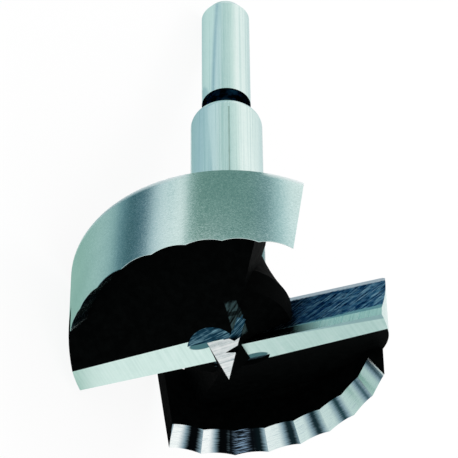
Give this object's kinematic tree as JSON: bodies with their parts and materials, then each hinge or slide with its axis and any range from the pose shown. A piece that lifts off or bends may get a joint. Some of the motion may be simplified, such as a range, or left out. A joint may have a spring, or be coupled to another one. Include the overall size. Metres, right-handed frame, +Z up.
{
  "type": "forstner bit",
  "caption": "Forged one-piece wood drill with a wide head: fluted rim cutters, straight cutting blades, a ground centre point and a cylindrical shank.",
  "frame": {"origin": "on the shank's axis, where the ground cylinder ends at the chamfer", "axes": "+Z up; the tool lies at rest with its shank towards +Y and a little down, and its cutting face towards -Y"},
  "size_m": [0.06, 0.1015, 0.0583],
  "materials": {
    "steel": "bright ground on the shank, collar, rims and cutters, black on the forged faces"
  },
  "bodies": {
    "root": {"forstner_bit": "steel"}
  },
  "joints": []
}
